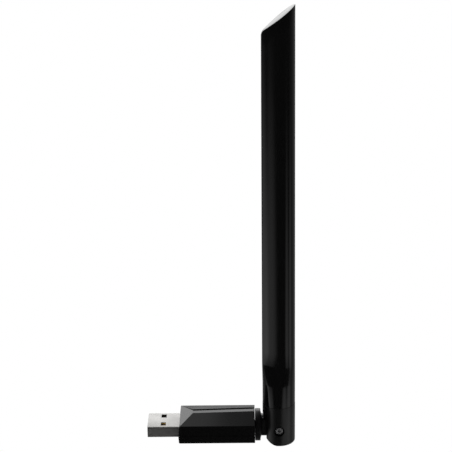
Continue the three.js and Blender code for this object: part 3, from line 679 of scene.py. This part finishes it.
# %% [markdown]
# ## The antenna sleeve
# The blade is a hollow moulding: round at the foot, then a teardrop with a small nose towards
# the plug, gently bulging flanks and a round back. Each ring holds points that share a surface
# direction, so the round foot and the teardrop join without a twist. The top is cut at a slant.

# %% Sleeve section
BLADE_LEFT = (-6.5, -6.35)
BLADE_RIGHT = (6.32, 5.89)
NOSE_RADIUS = 1.5
BACK_RADIUS = (4.8, 4.6)
FLANK_RADIUS = 16.0
RAMP_Z = (19.5, 26.5)
TIP = sleeve_high.z
CHISEL_SLOPE = 0.8
CORNER_HEIGHT = 156.5
CORNER_SLOPE = 2.4
BLADE_WALL = 1.05
TOP_WALL = 1.8
SOCKET_FIT = 0.15
directions = [
    *[step * 4.0 for step in range(24)], *[94 + step * 2.5 for step in range(20)],
    *[144 + step * 6.0 for step in range(6)]]
directions = [*directions, 180.0, *[-angle for angle in reversed(directions[1:])]]


def mix(pair, share):
    return pair[0] + (pair[1] - pair[0]) * share


def blade_point(share, degrees, inset=0.0):
    nose_x = mix(BLADE_LEFT, share) + NOSE_RADIUS
    back_radius = mix(BACK_RADIUS, share)
    back_x = mix(BLADE_RIGHT, share) - back_radius
    to_nose, to_back = FLANK_RADIUS - NOSE_RADIUS, FLANK_RADIUS - back_radius
    apart = back_x - nose_x
    along = (to_nose ** 2 - to_back ** 2 + apart ** 2) / (2 * apart)
    drop = math.sqrt(to_nose ** 2 - along ** 2)
    side = -1 if degrees < 0 else 1
    turn = abs(degrees)
    if turn <= math.degrees(math.atan2(drop, apart - along)):
        x, y, radius = back_x, 0.0, back_radius
    elif turn >= math.degrees(math.atan2(drop, -along)):
        x, y, radius = nose_x, 0.0, NOSE_RADIUS
    else:
        x, y, radius = nose_x + along, -drop, FLANK_RADIUS
    angle = math.radians(turn)
    return (x + (radius - inset) * math.cos(angle), side * (y + (radius - inset) * math.sin(angle)))


# %% Slanted top
TOP_SOFTNESS = 0.6


def chisel(x):
    long_slope = TIP + CHISEL_SLOPE * (x - BLADE_RIGHT[1])
    corner_slope = CORNER_HEIGHT + CORNER_SLOPE * (x - BLADE_LEFT[1])
    gap = max(TOP_SOFTNESS - abs(long_slope - corner_slope), 0) / TOP_SOFTNESS
    return min(long_slope, corner_slope) - gap ** 2 * TOP_SOFTNESS / 4


def blade_rings(inset, low, lowered, shares):
    rings = []
    for share in shares:
        ring = []
        for angle in directions:
            base, top = blade_point(0, angle, inset), blade_point(1, angle, inset)
            ring.append((
                mix((base[0], top[0]), share), mix((base[1], top[1]), share),
                mix((low, chisel(top[0]) - lowered), share)))
        rings.append(ring)
    return rings


def capped(name, rings):
    """A skin whose slanted top is closed by strips that run straight across it."""
    bm = bmesh.new()
    rows = [[bm.verts.new(Vector((PIN_X + x, y, z)) * MM) for x, y, z in ring] for ring in rings]
    count = len(directions)
    for low, high in zip(rows, rows[1:]):
        for i in range(count):
            j = (i + 1) % count
            bm.faces.new((low[i], low[j], high[j], high[i]))
    bm.faces.new(rows[0])
    top = rows[-1]
    for i in range(count // 2):
        corners = [top[i], top[i + 1], top[-i - 1], top[-i]]
        bm.faces.new(list(dict.fromkeys(corners)))
    return mesh_piece(name, bm)


# %% Antenna sleeve
RIM_ROUND = 0.3
SLANT = math.hypot(1, CHISEL_SLOPE)
rings = []
for z, inset in ((FOOT_TOP + 0.05, 0.03), (FOOT_TOP + 0.08, 0.0), (RAMP_Z[0] - 0.5, 0.0)):
    radius = SLEEVE_RADIUS - inset
    rings.append([(radius * math.cos(math.radians(a)), radius * math.sin(math.radians(a)), z)
                  for a in directions])
for step in range(1, 12):
    t = step / 12
    eased = 0.75 * t + 0.25 * t * t * (3 - 2 * t)
    ring = []
    for a in directions:
        x, y = blade_point(0, a)
        round_x, round_y = (SLEEVE_RADIUS * f(math.radians(a)) for f in (math.cos, math.sin))
        ring.append((mix((round_x, x), eased), mix((round_y, y), eased),
                     mix((RAMP_Z[0] - 0.5, RAMP_Z[1] + 0.5), t)))
    rings.append(ring)
rings += blade_rings(0.0, RAMP_Z[1] + 0.5, RIM_ROUND * SLANT, [step / 24 for step in range(25)])
for step in range(1, 6):
    turn = math.radians(18 * step)
    inset = RIM_ROUND * (1 - math.cos(turn))
    lowered = RIM_ROUND * (1 - math.sin(turn)) * SLANT
    rings += blade_rings(inset, RAMP_Z[1], lowered, [1.0])
sleeve = capped("fine_antenna_sleeve", rings)
cavity = capped("cavity", blade_rings(BLADE_WALL, RAMP_Z[0], TOP_WALL, (0.0, 1.0)))
socket = rod("socket", "z", (FOOT_TOP - 1, RAMP_Z[0] + 1), SPIGOT_RADIUS + SOCKET_FIT, (PIN_X, 0))
combine(sleeve, [cavity, socket], "DIFFERENCE")
shade_edges(sleeve, 40)
install(sleeve, polished_abs)

# %% [markdown]
# ## The stage
# A pale lit floor, and a studio that the gloss can see. Black gloss shows its surroundings and
# little else, so the light is a set of broad soft glows: bright behind, a softbox overhead,
# dim in front. The floor lights the object but isn't mirrored in it.

# %% Floor
lowest = cad_box[0].z
FLOOR_HALF = 4.0
bm = bmesh.new()
bmesh.ops.create_grid(bm, x_segments=8, y_segments=8, size=FLOOR_HALF)
floor = mesh_piece("floor", bm)
floor.location.z = lowest - 0.05 * MM
pale = bpy.data.materials.new("pale_lit_floor")
pale.use_nodes = True
pale_tree = pale.node_tree
pale_tree.nodes.clear()
glow = add(pale_tree, "ShaderNodeEmission", {"Color": (1, 1, 1, 1), "Strength": 1.0})
add(pale_tree, "ShaderNodeOutputMaterial", {"Surface": glow.outputs[0]})
floor.data.materials.append(pale)
floor.visible_glossy = False

# %% Studio glows
world = bpy.data.worlds.new("studio")
scene.world = world
world.use_nodes = True
sky = world.node_tree
sky.nodes.clear()
direction = add(sky, "ShaderNodeTexCoord").outputs["Generated"]
is_camera = add(sky, "ShaderNodeLightPath").outputs["Is Camera Ray"]


def from_angles(azimuth, elevation):
    a, e = math.radians(azimuth), math.radians(elevation)
    return Vector((math.sin(a) * math.cos(e), math.cos(a) * math.cos(e), math.sin(e)))


def studio_glow(azimuth, elevation, full, edge, strength):
    """A soft round glow: full strength within one angle of its centre, none beyond another."""
    dot = add(sky, "ShaderNodeVectorMath", {0: direction, 1: from_angles(azimuth, elevation)},
              operation="DOT_PRODUCT").outputs["Value"]
    return add(sky, "ShaderNodeMapRange", {
        "Value": dot, "From Min": math.cos(math.radians(edge)),
        "From Max": math.cos(math.radians(full)), "To Min": 0.0, "To Max": strength},
        interpolation_type="SMOOTHSTEP").outputs[0]


AMBIENT = 0.035
glows = [
    studio_glow(-8, 20, 12, 31, 1.7),
    studio_glow(10, 5, 15, 125, 0.2),
    studio_glow(-96, -32, 2, 22, 0.7),
    studio_glow(-122, -32, 2, 21, 0.4),
    studio_glow(108, -34, 4, 20, 0.45),
    studio_glow(142, -34, 4, 20, 0.45),
]
total = AMBIENT
for one in glows:
    total = add(sky, "ShaderNodeMath", {0: total, 1: one}, operation="ADD").outputs[0]
total = add(sky, "ShaderNodeMath", {0: total, 1: is_camera}, operation="MAXIMUM").outputs[0]
background = add(sky, "ShaderNodeBackground", {"Color": (1, 1, 1, 1), "Strength": total})
add(sky, "ShaderNodeOutputWorld", {"Surface": background.outputs[0]})
print("studio:", len(glows), "glows over an ambient of", AMBIENT)

# %% Overhead softbox
BOX_HEIGHT = 400 * MM
BOX_EDGE_X = 9 * MM
BOX_SIZE = (500 * MM, 360 * MM)
BOX_RADIANCE = 0.45
softbox = bpy.data.lights.new("overhead_softbox", "AREA")
softbox.shape = "RECTANGLE"
softbox.size, softbox.size_y = BOX_SIZE
softbox.energy = BOX_RADIANCE * math.pi * BOX_SIZE[0] * BOX_SIZE[1]
lamp = bpy.data.objects.new("overhead_softbox", softbox)
lamp.location = (BOX_EDGE_X - BOX_SIZE[0] / 2, 190 * MM, BOX_HEIGHT)
lamp.rotation_euler = (0, 0, math.radians(-12))
scene.collection.objects.link(lamp)
print("softbox radiance", BOX_RADIANCE)
